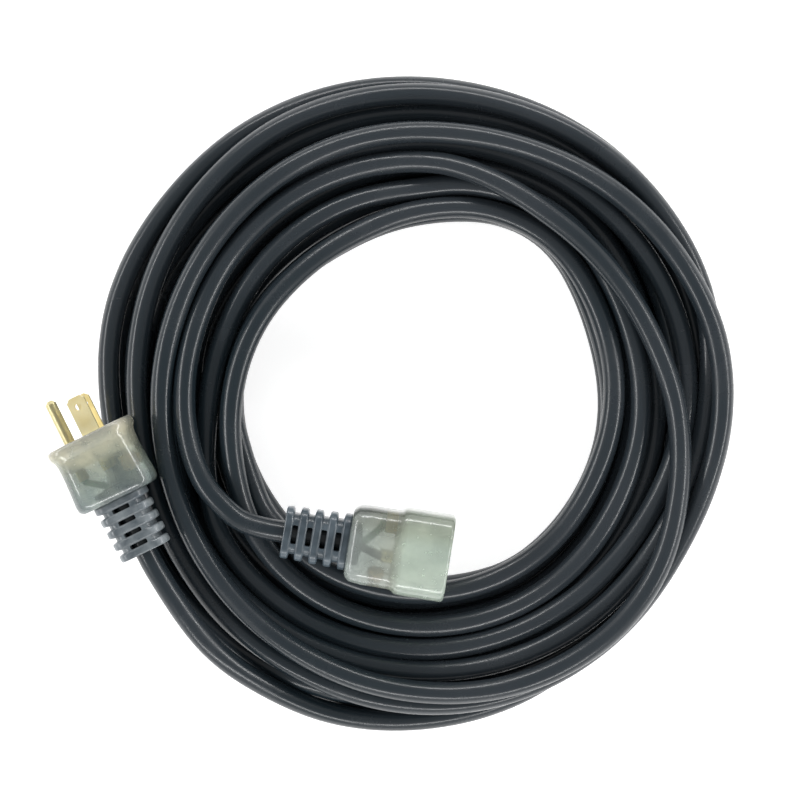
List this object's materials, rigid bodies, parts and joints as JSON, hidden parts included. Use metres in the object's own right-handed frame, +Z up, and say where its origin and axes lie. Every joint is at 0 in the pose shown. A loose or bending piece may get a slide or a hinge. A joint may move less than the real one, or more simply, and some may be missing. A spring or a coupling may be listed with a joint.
{
  "type": "shore_power_cord",
  "caption": "Shore power cord for an RV or caravan: black three-core cord wound in a round coil, with a clear moulded plug and a clear moulded connector that hold indicator lamps",
  "frame": {"origin": "On the floor, at the middle of the whole part's outline in plan.", "axes": "+Z is up, away from the floor that the coil lies on. +X runs along the longer side of the outline, with the plug on the -X side; +Y completes a right-handed frame."},
  "size_m": [0.2911, 0.2802, 0.0655],
  "materials": {
    "jacket": "satin black PVC jacket",
    "clear_housing": "clear moulded PVC with a faint green tint, polished",
    "strain_relief": "smoky blue-grey flexible PVC, satin",
    "contact_holder": "pale green insert, satin",
    "brass": "stamped brass, lightly polished",
    "line_insulation": "black PVC insulation",
    "neutral_insulation": "white PVC insulation",
    "ground_insulation": "green PVC insulation",
    "lamp_glass": "small neon lamp, clear glass",
    "resistor": "tan ceramic coat",
    "tinned_lead": "tinned copper"
  },
  "bodies": {
    "root": {"cord_coil": "jacket", "cord_plug_lead": "jacket", "cord_connector_lead": "jacket", "cord_plug_end": "jacket", "cord_connector_end": "jacket", "plug_body": "clear_housing", "plug_strain_relief": "strain_relief", "plug_blade_carrier": "contact_holder", "plug_line_blade": "brass", "plug_neutral_blade": "brass", "plug_ground_pin": "brass", "plug_line_wire": "line_insulation", "plug_neutral_wire": "neutral_insulation", "plug_ground_wire": "ground_insulation", "plug_lamp": "lamp_glass", "plug_lamp_resistor": "resistor", "plug_lamp_leads": "tinned_lead", "connector_body": "clear_housing", "connector_strain_relief": "strain_relief", "connector_contact_block": "contact_holder", "connector_line_contact": "brass", "connector_neutral_contact": "brass", "connector_ground_contact": "brass", "connector_line_wire": "line_insulation", "connector_neutral_wire": "neutral_insulation", "connector_ground_wire": "ground_insulation", "connector_lamp": "lamp_glass", "connector_lamp_resistor": "resistor", "connector_lamp_leads": "tinned_lead"}
  },
  "joints": []
}
